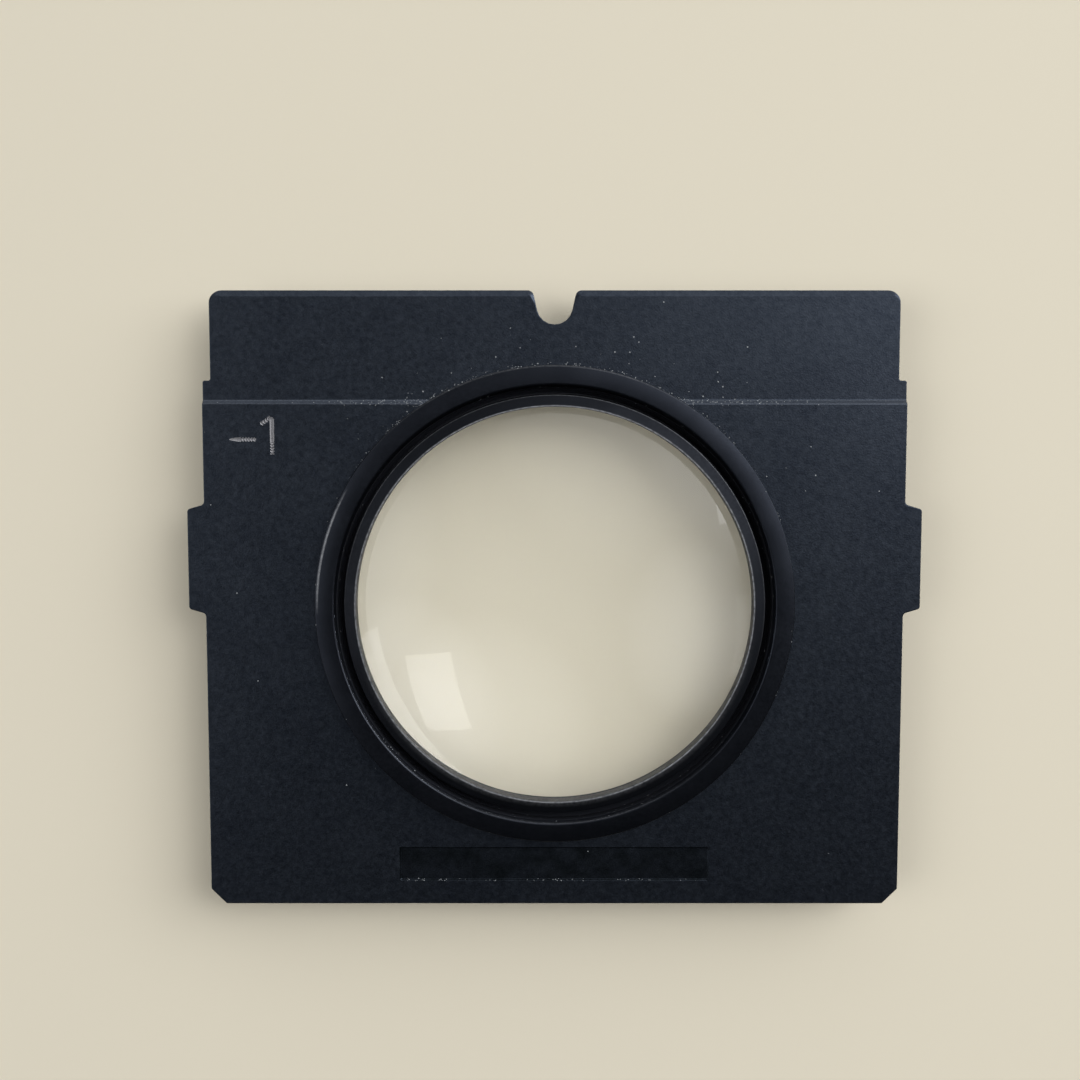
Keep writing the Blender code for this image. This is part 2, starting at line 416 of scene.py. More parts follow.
def turning_tree():
    """Turns the line of a profile, radius along X and height along Z, about the lens axis."""
    tree, given, last = nodes_tree(
        "turned_on_lens_axis",
        {
            "Profile": "NodeSocketGeometry",
            "Segments": "NodeSocketInt",
            "Axis Y": "NodeSocketFloat",
            "Weld": "NodeSocketFloat",
            "Finish": "NodeSocketMaterial",
        },
    )
    size = add(tree, "GeometryNodeAttributeDomainSize", {"Geometry": given["Profile"]}, component="MESH")
    count = size.outputs["Point Count"]
    columns = maths(tree, "ADD", given["Segments"], 1)
    grid = add(tree, "GeometryNodeMeshGrid", {"Vertices X": columns, "Vertices Y": count})
    index = add(tree, "GeometryNodeInputIndex").outputs[0]
    column = maths(tree, "FLOOR", maths(tree, "DIVIDE", index, count))
    row = maths(tree, "MODULO", index, count)
    place = add(tree, "GeometryNodeInputPosition").outputs[0]
    point = add(
        tree,
        "GeometryNodeSampleIndex",
        {"Geometry": given["Profile"], "Value": place, "Index": row},
        data_type="FLOAT_VECTOR",
    )
    parts = add(tree, "ShaderNodeSeparateXYZ", {0: point.outputs[0]}).outputs
    angle = product(tree, maths(tree, "DIVIDE", column, given["Segments"]), math.tau)
    x = product(tree, parts["X"], maths(tree, "COSINE", angle))
    y = product(tree, parts["X"], maths(tree, "SINE", angle))
    y = maths(tree, "ADD", y, given["Axis Y"])
    moved = add(tree, "ShaderNodeCombineXYZ", {"X": x, "Y": y, "Z": parts["Z"]}).outputs[0]
    sockets = {"Geometry": grid.outputs["Mesh"], "Position": moved}
    turned = add(tree, "GeometryNodeSetPosition", sockets).outputs[0]
    sockets = {"Geometry": turned, "Distance": given["Weld"]}
    welded = add(tree, "GeometryNodeMergeByDistance", sockets).outputs[0]
    return end_tree(tree, given, last, welded)


def engraving_tree():
    """Sweeps a round cutter tip along a stroke. It dips in over the entry and chatters further on."""
    tree, given, last = nodes_tree(
        "engraved_stroke",
        {
            "Stroke": "NodeSocketGeometry",
            "Steps": "NodeSocketInt",
            "Tip Radius": "NodeSocketFloat",
            "Entry": "NodeSocketFloat",
            "Lift": "NodeSocketFloat",
            "Chatter": "NodeSocketFloat",
            "Chatter From": "NodeSocketFloat",
            "Bites": "NodeSocketFloat",
            "Finish": "NodeSocketMaterial",
        },
    )
    path = add(tree, "GeometryNodeMeshToCurve", {"Mesh": given["Stroke"]}).outputs[0]
    fine = add(tree, "GeometryNodeResampleCurve", {"Curve": path, "Count": given["Steps"]}).outputs[0]
    share = add(tree, "GeometryNodeSplineParameter").outputs["Factor"]
    lifted = remap(tree, share, 0.0, given["Entry"], given["Lift"], 0.0)
    turns = product(tree, share, given["Bites"], math.pi)
    wave = maths(tree, "POWER", maths(tree, "SINE", turns), 4.0)
    rough = maths(tree, "GREATER_THAN", share, given["Chatter From"])
    bite = product(tree, wave, rough, given["Chatter"])
    scale = maths(tree, "SUBTRACT", maths(tree, "SUBTRACT", 1.0, lifted), bite)
    sockets = {"Resolution": TIP_SEGMENTS, "Radius": given["Tip Radius"]}
    tip = add(tree, "GeometryNodeCurvePrimitiveCircle", sockets)
    sockets = {"Curve": fine, "Profile Curve": tip.outputs["Curve"], "Scale": scale, "Fill Caps": True}
    swept = add(tree, "GeometryNodeCurveToMesh", sockets).outputs[0]
    return end_tree(tree, given, last, swept)


# Materials

PLATE_DARK = (0.026, 0.0325, 0.046)
PLATE_LIGHT = (0.0505, 0.0605, 0.079)
MOUNT_DARK = (0.0138, 0.0162, 0.0222)
MOUNT_LIGHT = (0.0186, 0.0215, 0.0288)
RING_DARK = (0.0068, 0.0082, 0.0116)
RING_LIGHT = (0.0095, 0.0111, 0.0154)
GROOVE_FILM = (0.017, 0.019, 0.0255)
# Painted highlight on the step's edges and ramp
STEP_HIGHLIGHT_GREY = (0.08, 0.09, 0.11)
PANEL_BLACK = (0.012, 0.0155, 0.018)
# Light grey for worn edges, and for highlights painted on edges that face the light
WORN_EDGE_AND_HIGHLIGHT = (0.25, 0.26, 0.28)
DUST = (0.24, 0.255, 0.27)
SCORED_METAL = (0.09, 0.09, 0.1)
BARE_METAL = (0.32, 0.32, 0.34)
GROUND_GLASS_DARK = (0.58, 0.58, 0.56)
GROUND_GLASS_LIGHT = (0.7, 0.7, 0.68)
CLEAR_GLASS = (0.985, 0.99, 0.985)
GLASS_SHADE = (0.97, 0.975, 0.97)
GLASS_INDEX = 1.52
PALE_FLOOR = (0.68, 0.63, 0.51)

# Grain of the finishes
PAINT_GRAIN = 0.13
PAINT_MOTTLE = 0.4
PAINT_CLOUD = 6.0
PAINT_SHEEN_GRAIN = 0.3
# Patchiness of the step's painted highlight
STEP_HIGHLIGHT_GRAIN = 0.15
# Patchiness of the panel's darker black
PANEL_DARK_GRAIN = 1.2
# Patchiness of edge wear and of the painted edge highlights
EDGE_MARK_GRAIN = 0.25
ANODISING_GRAIN = 0.2
ANODISING_CLOUD = 2.5
TURNED_LINE_PITCH = 0.06
SCORE_GRAIN = 0.08
FROST_GRAIN = 0.1

# Dust: flecks that settled in corners, and loose ones that thin out away from the mount
SETTLED_SPACING = 0.1
LOOSE_SPACING = 0.35
TURNED_SPACING = 0.13
SETTLED_SIZE = 0.05
LOOSE_SIZE = 0.06
SETTLED_REACH = 7.0
LOOSE_REACH = 6.0
DUST_FROM_Y = 5.0
DUST_PATCHES = 1.5
DUST_ROUGHNESS = 0.8


def new_finish(name):
    """A material, its tree and its shader."""
    material = bpy.data.materials.new(name)
    material.use_nodes = True
    tree = material.node_tree
    return material, tree, tree.nodes["Principled BSDF"]


def millimetres(tree):
    """The piece's Object coordinates in millimetres."""
    metres = add(tree, "ShaderNodeTexCoord").outputs["Object"]
    return add(tree, "ShaderNodeVectorMath", {0: metres, "Scale": 1 / MM}, operation="SCALE").outputs[0]


def noise(tree, place, grain, detail=2.0):
    """Noise whose blotches are about one grain across."""
    sockets = {"Vector": place, "Scale": 1 / grain, "Detail": detail}
    return add(tree, "ShaderNodeTexNoise", sockets).outputs["Fac"]


def remap(tree, value, low, high, new_low=0.0, new_high=1.0):
    sockets = {"Value": value, "From Min": low, "From Max": high, "To Min": new_low, "To Max": new_high}
    return add(tree, "ShaderNodeMapRange", sockets).outputs[0]


def blend(tree, share, first, second):
    """Mixes two colours, each a constant or another node's output."""
    node = add(tree, "ShaderNodeMix", {"Factor": share}, data_type="RGBA")
    colours = [socket for socket in node.inputs if socket.type == "RGBA"]
    for socket, colour in zip(colours, (first, second)):
        if isinstance(colour, bpy.types.NodeSocket):
            tree.links.new(colour, socket)
        else:
            socket.default_value = (*colour, 1.0)
    return next(socket for socket in node.outputs if socket.type == "RGBA")


def bumped(tree, shader, height, strength, depth):
    sockets = {"Height": height, "Strength": strength, "Distance": depth * MM}
    bump = add(tree, "ShaderNodeBump", sockets)
    tree.links.new(bump.outputs[0], shader.inputs["Normal"])


def vectors(tree, operation, *values):
    """A step of vector maths. Its first output is a vector, its second a number."""
    return add(tree, "ShaderNodeVectorMath", dict(enumerate(values)), operation=operation).outputs


def from_axis(tree, place):
    """Direction and distance from the lens axis."""
    away = vectors(tree, "SUBTRACT", place, (0.0, LENS_Y, 0.0))[0]
    flat = vectors(tree, "MULTIPLY", away, (1.0, 1.0, 0.0))[0]
    return vectors(tree, "NORMALIZE", flat)[0], vectors(tree, "LENGTH", flat)[1]


def towards(turn):
    """Level direction at a turn in degrees, clockwise from +Y."""
    return math.sin(math.radians(turn)), math.cos(math.radians(turn)), 0.0


def near(tree, value, centre, reach):
    """1 where a value is at the centre, falling to 0 a reach away."""
    gap = maths(tree, "ABSOLUTE", maths(tree, "SUBTRACT", value, centre))
    return remap(tree, gap, reach, 0.0)


def flecks(tree, place, spacing, size, share):
    """Small dust flecks, in a share of the cells that divide the surface."""
    cells = add(tree, "ShaderNodeTexVoronoi", {"Vector": place, "Scale": 1 / spacing})
    tint = add(tree, "ShaderNodeSeparateColor", {0: cells.outputs["Color"]}).outputs
    kept = maths(tree, "LESS_THAN", tint[0], share)
    reach = product(tree, tint[1], size / spacing)
    spot = maths(tree, "LESS_THAN", cells.outputs["Distance"], reach)
    return product(tree, kept, spot)


def coat(tree, shader, black, dust, rough, film):
    """Colour, roughness and metal of a black finish with dust on it and a dull film in places."""
    tree.links.new(blend(tree, dust, black, DUST), shader.inputs["Base Color"])
    dull = maths(tree, "MAXIMUM", dust, film)
    rough = maths(tree, "MAXIMUM", rough, product(tree, dull, DUST_ROUGHNESS))
    tree.links.new(rough, shader.inputs["Roughness"])
    tree.links.new(maths(tree, "SUBTRACT", 1.0, dull), shader.inputs["Metallic"])


def plate_black(tree, place, grain):
    """Satin black with fine, middling and broad unevenness."""
    mottle = noise(tree, place, PAINT_MOTTLE)
    cloud = noise(tree, place, PAINT_CLOUD)
    tone = maths(tree, "ADD", product(tree, grain, 0.6), product(tree, mottle, 0.6))
    tone = maths(tree, "ADD", tone, product(tree, cloud, 0.3))
    return blend(tree, remap(tree, tone, 0.5, 1.0), PLATE_DARK, PLATE_LIGHT)


def step_highlight(tree, place, off_step, in_front):
    """How strongly the step carries its painted highlight: most along its two edges, less on its ramp."""
    edges = near(tree, off_step, STEP_HIGHLIGHT_OFFSET, 0.07)
    ramp = remap(tree, off_step, 0.15, 0.1, 0.0, 0.32)
    patchy = remap(tree, noise(tree, place, STEP_HIGHLIGHT_GRAIN, 3.0), 0.3, 0.7, 0.4, 1.0)
    return product(tree, maths(tree, "MAXIMUM", edges, ramp), in_front, patchy)


def panel_area(tree, across, off_panel, in_front):
    """1 in the panel and on its edges, 0 elsewhere."""
    in_height = maths(tree, "COMPARE", off_panel, 0.0, PANEL_HEIGHT / 2 + EDGE_ROUND)
    in_width = maths(tree, "COMPARE", across, 0.0, PANEL_WIDTH / 2 + EDGE_ROUND)
    return product(tree, in_height, in_width, in_front)


def plate_dust(tree, place, along, off_step, by_panel, in_front):
    """Dust along the step, round the mount and at the panel's lower edge, and loose on the tongue."""
    radius = from_axis(tree, place)[1]
    towards_mount = remap(tree, radius, FLANGE_RADIUS + SETTLED_REACH, FLANGE_RADIUS, 0.05, 1.0)
    by_step = product(tree, remap(tree, off_step, STEP_RAMP, 0.0), in_front, towards_mount)
    above = product(tree, remap(tree, along, DUST_FROM_Y, STEP_Y), in_front)
    by_mount = product(tree, near(tree, radius, FLANGE_RADIUS + 0.1, 0.2), above)
    ragged = remap(tree, noise(tree, place, DUST_PATCHES), 0.45, 0.6, 0.0, 0.6)
    share = maths(tree, "MAXIMUM", by_step, by_mount)
    share = maths(tree, "MAXIMUM", share, product(tree, by_panel, ragged))
    settled = flecks(tree, place, SETTLED_SPACING, SETTLED_SIZE, product(tree, share, 0.8))
    closer = maths(tree, "POWER", remap(tree, radius, FLANGE_RADIUS + LOOSE_REACH, FLANGE_RADIUS), 2.0)
    scattered = remap(tree, product(tree, closer, above), 0.0, 1.0, 0.008, 0.5)
    loose = flecks(tree, place, LOOSE_SPACING, LOOSE_SIZE, scattered)
    return maths(tree, "MAXIMUM", settled, loose)


def plate_finish():
    """Satin black with a fine grain, a painted highlight along the step, a patchy darker panel and dust.
    """
    material, tree, shader = new_finish("satin_black_paint")
    place = millimetres(tree)
    parts = add(tree, "ShaderNodeSeparateXYZ", {0: place}).outputs
    in_front = maths(tree, "GREATER_THAN", parts["Z"], TONGUE_FRONT_Z - EDGE_ROUND)
    off_step = maths(tree, "ABSOLUTE", maths(tree, "SUBTRACT", parts["Y"], STEP_Y + STEP_HIGHLIGHT_OFFSET))
    off_panel = maths(tree, "SUBTRACT", parts["Y"], PANEL_Y)
    in_panel = panel_area(tree, parts["X"], off_panel, in_front)
    # Patchy darker black in the recessed panel
    panel_dark = remap(tree, noise(tree, place, PANEL_DARK_GRAIN, 3.0), 0.35, 0.65, 0.3, 0.8)
    grain = noise(tree, place, PAINT_GRAIN, 3.0)
    black = plate_black(tree, place, grain)
    # Painted highlight along the step
    black = blend(tree, step_highlight(tree, place, off_step, in_front), black, STEP_HIGHLIGHT_GREY)
    black = blend(tree, product(tree, in_panel, panel_dark), black, PANEL_BLACK)
    by_panel = product(tree, near(tree, off_panel, -PANEL_HEIGHT / 2, 0.12), in_panel)
    dust = plate_dust(tree, place, parts["Y"], off_step, by_panel, in_front)
    rough = remap(tree, noise(tree, place, PAINT_SHEEN_GRAIN, 4.0), 0.3, 0.7, 0.31, 0.41)
    coat(tree, shader, black, dust, rough, 0.0)
    bumped(tree, shader, grain, 0.4, 0.02)
    return material


def edge_wear_and_highlight(tree, outward, radius, edge, reach, turn, spread, strength):
    """Wear and painted highlight on an edge of a turned piece, about a turn and fading out a spread of
    degrees to each side.
    """
    on_edge = near(tree, radius, edge, reach)
    off_turn = maths(tree, "ARCCOSINE", vectors(tree, "DOT_PRODUCT", outward, towards(turn))[1])
    faded = remap(tree, off_turn, math.radians(spread), math.radians(spread / 2), 0.0, strength)
    return product(tree, on_edge, faded)


def turned_finish(name, dark, light, roughness, dullness, wear_and_highlights):
    """Smooth black anodising over fine turned lines, with worn edges, highlights painted on edges where
    they face the light, dust and a dull groove.
    """
    material, tree, shader = new_finish(name)
    place = millimetres(tree)
    outward, radius = from_axis(tree, place)
    cloud = noise(tree, place, ANODISING_CLOUD, 3.0)
    black = blend(tree, remap(tree, cloud, 0.3, 0.7), dark, light)
    groove = maths(tree, "COMPARE", radius, LENS_BORE + GROOVE_WIDTH / 2, GROOVE_WIDTH / 2 + 0.01)
    black = blend(tree, groove, black, GROOVE_FILM)
    film = remap(tree, groove, 0.0, 1.0, dullness, 0.6)
    patchy = remap(tree, noise(tree, place, EDGE_MARK_GRAIN, 3.0), 0.25, 0.6, 0.3, 1.0)
    # Edge marks lighten edges: some are wear, the others are painted highlights where an edge faces the
    # light
    for edge_mark in wear_and_highlights:
        edge_mark_share = product(tree, edge_wear_and_highlight(tree, outward, radius, **edge_mark), patchy)
        black = blend(tree, edge_mark_share, black, WORN_EDGE_AND_HIGHLIGHT)
        film = maths(tree, "MAXIMUM", film, edge_mark_share)
    by_rim = near(tree, radius, FLANGE_RADIUS, 0.15)
    by_lip = near(tree, radius, GROOVE_RADIUS, 0.12)
    share = product(tree, maths(tree, "MAXIMUM", by_rim, by_lip), 0.1)
    dust = flecks(tree, place, TURNED_SPACING, SETTLED_SIZE, share)
    fine = noise(tree, place, ANODISING_GRAIN, 3.0)
    rough = remap(tree, fine, 0.3, 0.7, roughness - 0.04, roughness + 0.06)
    coat(tree, shader, black, dust, rough, film)
    lines = maths(tree, "SINE", product(tree, radius, math.tau / TURNED_LINE_PITCH))
    bumped(tree, shader, maths(tree, "ADD", product(tree, lines, 0.3), fine), 0.12, 0.01)
    return material


def engraved_finish():
    """Engraved strokes of bare scored metal, with painted shade that makes them a little darker at their
    bottoms.
    """
    material, tree, shader = new_finish("engraved_metal")
    place = millimetres(tree)
    scored = noise(tree, place, SCORE_GRAIN, 4.0)
    height = add(tree, "ShaderNodeSeparateXYZ", {0: place}).outputs["Z"]
    # Painted shade: the strokes darken towards their bottoms
    edge = remap(tree, height, PLATE_FRONT_Z - MARK_DEPTH, PLATE_FRONT_Z)
    bright = maths(tree, "ADD", remap(tree, scored, 0.3, 0.7, 0.0, 0.6), product(tree, edge, 0.5))
    tree.links.new(blend(tree, bright, SCORED_METAL, BARE_METAL), shader.inputs["Base Color"])
    tree.links.new(remap(tree, scored, 0.3, 0.7, 0.35, 0.6), shader.inputs["Roughness"])
    shader.inputs["Metallic"].default_value = 0.3
    bumped(tree, shader, scored, 0.4, 0.02)
    return material


def glass_finish():
    """Polished glass that lets lamps through to what lies under it."""
    material, tree, shader = new_finish("polished_glass")
    shader.inputs["Base Color"].default_value = (*CLEAR_GLASS, 1.0)
    shader.inputs["Roughness"].default_value = 0.0
    shader.inputs["IOR"].default_value = GLASS_INDEX
    shader.inputs["Transmission Weight"].default_value = 1.0
    passing = add(tree, "ShaderNodeBsdfTransparent", {"Color": (*GLASS_SHADE, 1.0)}).outputs[0]
    shadow = add(tree, "ShaderNodeLightPath").outputs["Is Shadow Ray"]
    both = add(tree, "ShaderNodeMixShader", {0: shadow, 1: shader.outputs[0], 2: passing}).outputs[0]
    tree.links.new(both, tree.nodes["Material Output"].inputs["Surface"])
    return material


def ground_edge_finish():
    """The lens's finely ground edge."""
    material, tree, shader = new_finish("ground_glass_edge")
    place = millimetres(tree)
    frost = noise(tree, place, FROST_GRAIN, 4.0)
    grey = blend(tree, remap(tree, frost, 0.3, 0.7), GROUND_GLASS_DARK, GROUND_GLASS_LIGHT)
    tree.links.new(grey, shader.inputs["Base Color"])
    shader.inputs["Roughness"].default_value = 0.7
    bumped(tree, shader, frost, 0.5, 0.02)
    return material


# Plate

def notch_foot():
    """The point where the notch's flared sides would meet."""
    centre_y = TOP_Y - NOTCH_DEPTH + NOTCH_RADIUS
    return Vector((0, centre_y - NOTCH_RADIUS / math.sin(NOTCH_FLARE)))


def notch_mouth():
    """The right corner of the notch's mouth."""
    return Vector(((TOP_Y - notch_foot().y) * math.tan(NOTCH_FLARE), TOP_Y))


def plate_outline():
    lug_half = LUG_TIP_LENGTH / 2
    right_side = [
        (BODY_HALF - BOTTOM_CHAMFER, BOTTOM_Y, CHAMFER_RADIUS),
        (BODY_HALF, BOTTOM_Y + BOTTOM_CHAMFER, CHAMFER_RADIUS),
        (BODY_HALF, LUG_Y - lug_half - LUG_FLANK, LUG_ROOT_RADIUS),
        (PLATE_HIGH.x, LUG_Y - lug_half, LUG_TIP_RADIUS),
        (PLATE_HIGH.x, LUG_Y + lug_half, LUG_TIP_RADIUS),
        (BODY_HALF, LUG_Y + lug_half + LUG_FLANK, LUG_ROOT_RADIUS),
        (BODY_HALF, SHOULDER_Y, SHOULDER_RADIUS),
        (TONGUE_HALF, SHOULDER_Y, SHOULDER_RADIUS),
        (TONGUE_HALF, TOP_Y, TONGUE_CORNER),
        (*notch_mouth(), NOTCH_MOUTH_RADIUS),
    ]
    left_side = [(-x, y, radius) for x, y, radius in reversed(right_side)]
    return rounded_outline([*right_side, (*notch_foot(), NOTCH_RADIUS), *left_side])


def step_cutter():
    """What the step takes off the tongue's front, outside the mount's round land."""
    across = PLATE_HIGH.x + OVERRUN
    profile = [
        (STEP_Y + STEP_RAMP, TONGUE_FRONT_Z),
        (TOP_Y + OVERRUN, TONGUE_FRONT_Z),
        (TOP_Y + OVERRUN, PLATE_FRONT_Z + OVERRUN),
        (STEP_Y, PLATE_FRONT_Z + OVERRUN),
        (STEP_Y, PLATE_FRONT_Z),
    ]
    tool = prism("tongue_step", [(-across, y, z) for y, z in profile], (2 * across, 0, 0))
    cut(tool, disc("mount_land", FLANGE_RADIUS, PLATE_BACK_Z, PLATE_FRONT_Z + 2 * OVERRUN))
    return tool


def lead_in_path():
    """The right half of the tongue's front edge, from its side round the corner into the notch."""
    side = Vector((TONGUE_HALF, SHOULDER_Y))
    corner = Vector((TONGUE_HALF, TOP_Y))
    mouth = notch_mouth()
    foot = notch_foot()
    path = [
        *corner_arc(side, corner, mouth, TONGUE_CORNER),
        *corner_arc(corner, mouth, foot, NOTCH_MOUTH_RADIUS),
    ]
    flare = (foot - mouth).normalized()
    run_in = path[0] + (side - corner).normalized() * LEAD_IN_RUN
    run_out = path[-1] + flare * (2 * LEAD_IN_RUN)
    return [run_in, *path, run_out, run_out + flare * LEAD_IN_RUN]


def lead_in_cutter(side):
    """One half of the lead-in bevel. Its face leaves the edge at both ends, so the bevel fades out."""
    path = lead_in_path()
    gone = [0.0]
    for first, second in zip(path, path[1:]):
        gone.append(gone[-1] + (second - first).length)
    slope = LEAD_IN_DEPTH / LEAD_IN_WIDTH
    mesh_data = bmesh.new()
    sections = []
    for index, point in enumerate(path):
        along = (path[min(index + 1, len(path) - 1)] - path[max(index - 1, 0)]).normalized()
        outward = Vector((along.y, -along.x))
        from_end = min(gone[index], gone[-1] - gone[index])
        share = min(1.0, (from_end - LEAD_IN_RUN) / LEAD_IN_FADE)
        outside = point + outward * LEAD_IN_WIDTH
        inside = point - outward * (LEAD_IN_WIDTH * share + LEAD_IN_OVER)
        low = TONGUE_FRONT_Z - LEAD_IN_DEPTH * share - slope * LEAD_IN_WIDTH
        high = TONGUE_FRONT_Z + slope * LEAD_IN_OVER
        corners = [
            (side * outside.x, outside.y, low),
            (side * outside.x, outside.y, high),
            (side * inside.x, inside.y, high),
        ]
        sections.append([mesh_data.verts.new(corner) for corner in corners])
    for first, second in zip(sections, sections[1:]):
        for corner in range(3):
            beside = (corner + 1) % 3
            mesh_data.faces.new([first[corner], first[beside], second[beside], second[corner]])
    mesh_data.faces.new(sections[0])
    mesh_data.faces.new(sections[-1])
    return solid_from("lead_in", mesh_data)


def panel_cutter():
    corners = [
        (x * PANEL_WIDTH / 2, PANEL_Y + y * PANEL_HEIGHT / 2, PANEL_CORNER)
        for x, y in ((-1, -1), (1, -1), (1, 1), (-1, 1))
    ]
    low = PLATE_FRONT_Z - PANEL_DEPTH
    outline = [(*point, low) for point in rounded_outline(corners)]
    return prism("panel", outline, (0, 0, PANEL_DEPTH + OVERRUN))


def mark_cutters():
    """The engraved minus one. Each stroke starts smooth and ends in the cutter's chatter."""
    height = PLATE_FRONT_Z + MARK_TIP - MARK_DEPTH
    strokes = {
        "minus": ((MINUS_LEFT, MINUS_Y), (MINUS_RIGHT, MINUS_Y), 0.35, 0.45),
        "flag": ((ONE_X - MARK_DEPTH, ONE_TOP), (FLAG_X, FLAG_Y), 0.05, 0.3),
        "stem": ((ONE_X, ONE_TOP), (ONE_X, ONE_BOTTOM), 0.05, 0.65),
    }
    tree = engraving_tree()
    finish = engraved_finish()
    for name, (start, end, entry, chatter_from) in strokes.items():
        length = math.dist(start, end)
        inputs = {
            "Steps": MARK_STEPS,
            "Tip Radius": MARK_TIP,
            "Entry": entry,
            "Lift": MARK_DEPTH / MARK_TIP,
            "Chatter": MARK_CHATTER,
            "Chatter From": chatter_from,
            "Bites": length / MARK_PITCH,
            "Finish": finish,
        }
        tool = shaped_by(polyline(name, [(*start, height), (*end, height)]), tree, inputs)
        face_outwards(tool)
        yield tool


def make_plate():
    outline = [(*point, PLATE_BACK_Z) for point in plate_outline()]
    plate = prism("plate", outline, (0, 0, PLATE_FRONT_Z - PLATE_BACK_Z))
    plate.data.materials.append(plate_finish())
    cut(plate, step_cutter())
    cut(plate, disc("mount_bore", BARREL_RADIUS + FIT, PLATE_BACK_Z - OVERRUN, PLATE_FRONT_Z + OVERRUN))
    cut(plate, panel_cutter())
    soften(plate, EDGE_ROUND)
    cut(plate, lead_in_cutter(1))
    cut(plate, lead_in_cutter(-1))
    for tool in mark_cutters():
        cut(plate, tool)
    clean(plate)
    shade(plate)
    hand_over(plate, "lens_plate", "plate")


# Turned pieces

def turned(name, profile, finish):
    """A piece turned from a profile of (radius, height, corner radius) points."""
    points = rounded_outline(profile)
    if points[0].x > 0:
        points.append(points[0])
    piece = polyline(name, [(point.x, 0, point.y) for point in points])
    inputs = {"Segments": SEGMENTS, "Axis Y": LENS_Y, "Weld": WELD, "Finish": finish}
    shaped_by(piece, TURNING, inputs)
    face_outwards(piece)
    shade(piece)
    return piece


def make_mount():
    """Barrel, crowned flange, groove, lens bore and seat."""
    lip_radius = GROOVE_RADIUS + LIP_WIDTH
    crown_radius = (FLANGE_RADIUS - lip_radius) / math.sin(FLANGE_CROWN)
    crown = []
    for step in range(BEAD_STEPS + 1):
        angle = FLANGE_CROWN * (1 - step / BEAD_STEPS)
        drop = crown_radius * (1 - math.cos(angle))
        crown.append((lip_radius + crown_radius * math.sin(angle), FLANGE_TOP_Z - drop, 0))
    profile = [
        (APERTURE, 0, SOFT_EDGE),
        (BARREL_RADIUS - BARREL_CHAMFER, 0, SOFT_EDGE),
        (BARREL_RADIUS, BARREL_CHAMFER, SOFT_EDGE),
        (BARREL_RADIUS, FLANGE_UNDER_Z, 0),
        (FLANGE_RADIUS, FLANGE_UNDER_Z, 0),
        (*crown[0][:2], FLANGE_RIM_RADIUS),
        *crown[BEAD_STEPS // 4:-1],
        (lip_radius, FLANGE_TOP_Z, LIP_SOFT),
        (GROOVE_RADIUS, FLANGE_TOP_Z - LIP_FALL, SOFT_EDGE),
        (GROOVE_RADIUS, GROOVE_FLOOR_Z, 0),
        (LENS_BORE + GROOVE_WIDTH / 2, GROOVE_FLOOR_Z - GROOVE_VEE, 0),
        (LENS_BORE, GROOVE_FLOOR_Z, SOFT_EDGE),
        (LENS_BORE, LENS_REAR_Z - FIT, 0),
        (LENS_RADIUS, LENS_REAR_Z - FIT, 0),
        (APERTURE, LENS_REAR_Z - dome(LENS_REAR_CURVE, APERTURE) - FIT, SOFT_EDGE),
    ]
    rim = FLANGE_RADIUS - FLANGE_RIM_RADIUS
    wear_and_highlights = [
        # Worn bare patch on the rim's left, which also paints the highlight there
        {"edge": rim - 0.1, "reach": 0.1, "turn": 284, "spread": 16, "strength": 1.0},
        # Painted highlight along the top of the rim
        {"edge": rim + 0.02, "reach": 0.08, "turn": 352, "spread": 45, "strength": 0.2},
        # Painted highlight along the lip's lower side, which faces the light
        {"edge": lip_radius - 0.05, "reach": 0.1, "turn": 200, "spread": 80, "strength": 0.15},
    ]
    finish = turned_finish("mount_anodising", MOUNT_DARK, MOUNT_LIGHT, 0.34, 0.06, wear_and_highlights)
    mount = turned("mount", profile, finish)
    hand_over(mount, "lens_mount", "plate")


def make_ring():
    """A ring on the lens's edge, with a sloping face and a narrow flat at its bore."""
    land = RING_BORE + RING_LAND
    land_middle = RING_BORE + RING_LAND / 2
    profile = [
        (RING_BORE, LENS_FRONT_Z + dome(LENS_FRONT_CURVE, RING_BORE) + FIT, 0),
        (LENS_RADIUS, LENS_FRONT_Z + FIT, 0),
        (RING_RADIUS, LENS_FRONT_Z + FIT, 0),
        (RING_RADIUS, RING_TOP_Z - RING_SLOPE, SOFT_EDGE),
        (land, RING_TOP_Z, SOFT_EDGE / 2),
        (RING_BORE, RING_TOP_Z, SOFT_EDGE / 2),
    ]
    wear_and_highlights = [
        # Painted highlight along the upper half of the ring's outer edge
        {"edge": RING_RADIUS - SOFT_EDGE, "reach": SOFT_EDGE, "turn": 10, "spread": 110, "strength": 0.3},
        # Painted highlight on the land's lower side, which faces the light
        {"edge": land, "reach": 3 * RING_LAND, "turn": 175, "spread": 80, "strength": 0.32},
        # Worn bright line all round the land at the bore
        {"edge": land_middle, "reach": 0.7 * RING_LAND, "turn": 0, "spread": 360, "strength": 1.0},
    ]
    finish = turned_finish("ring_anodising", RING_DARK, RING_LIGHT, 0.47, 0.15, wear_and_highlights)
    ring = turned("clamp_ring", profile, finish)
    hand_over(ring, "retaining_ring", "ring")


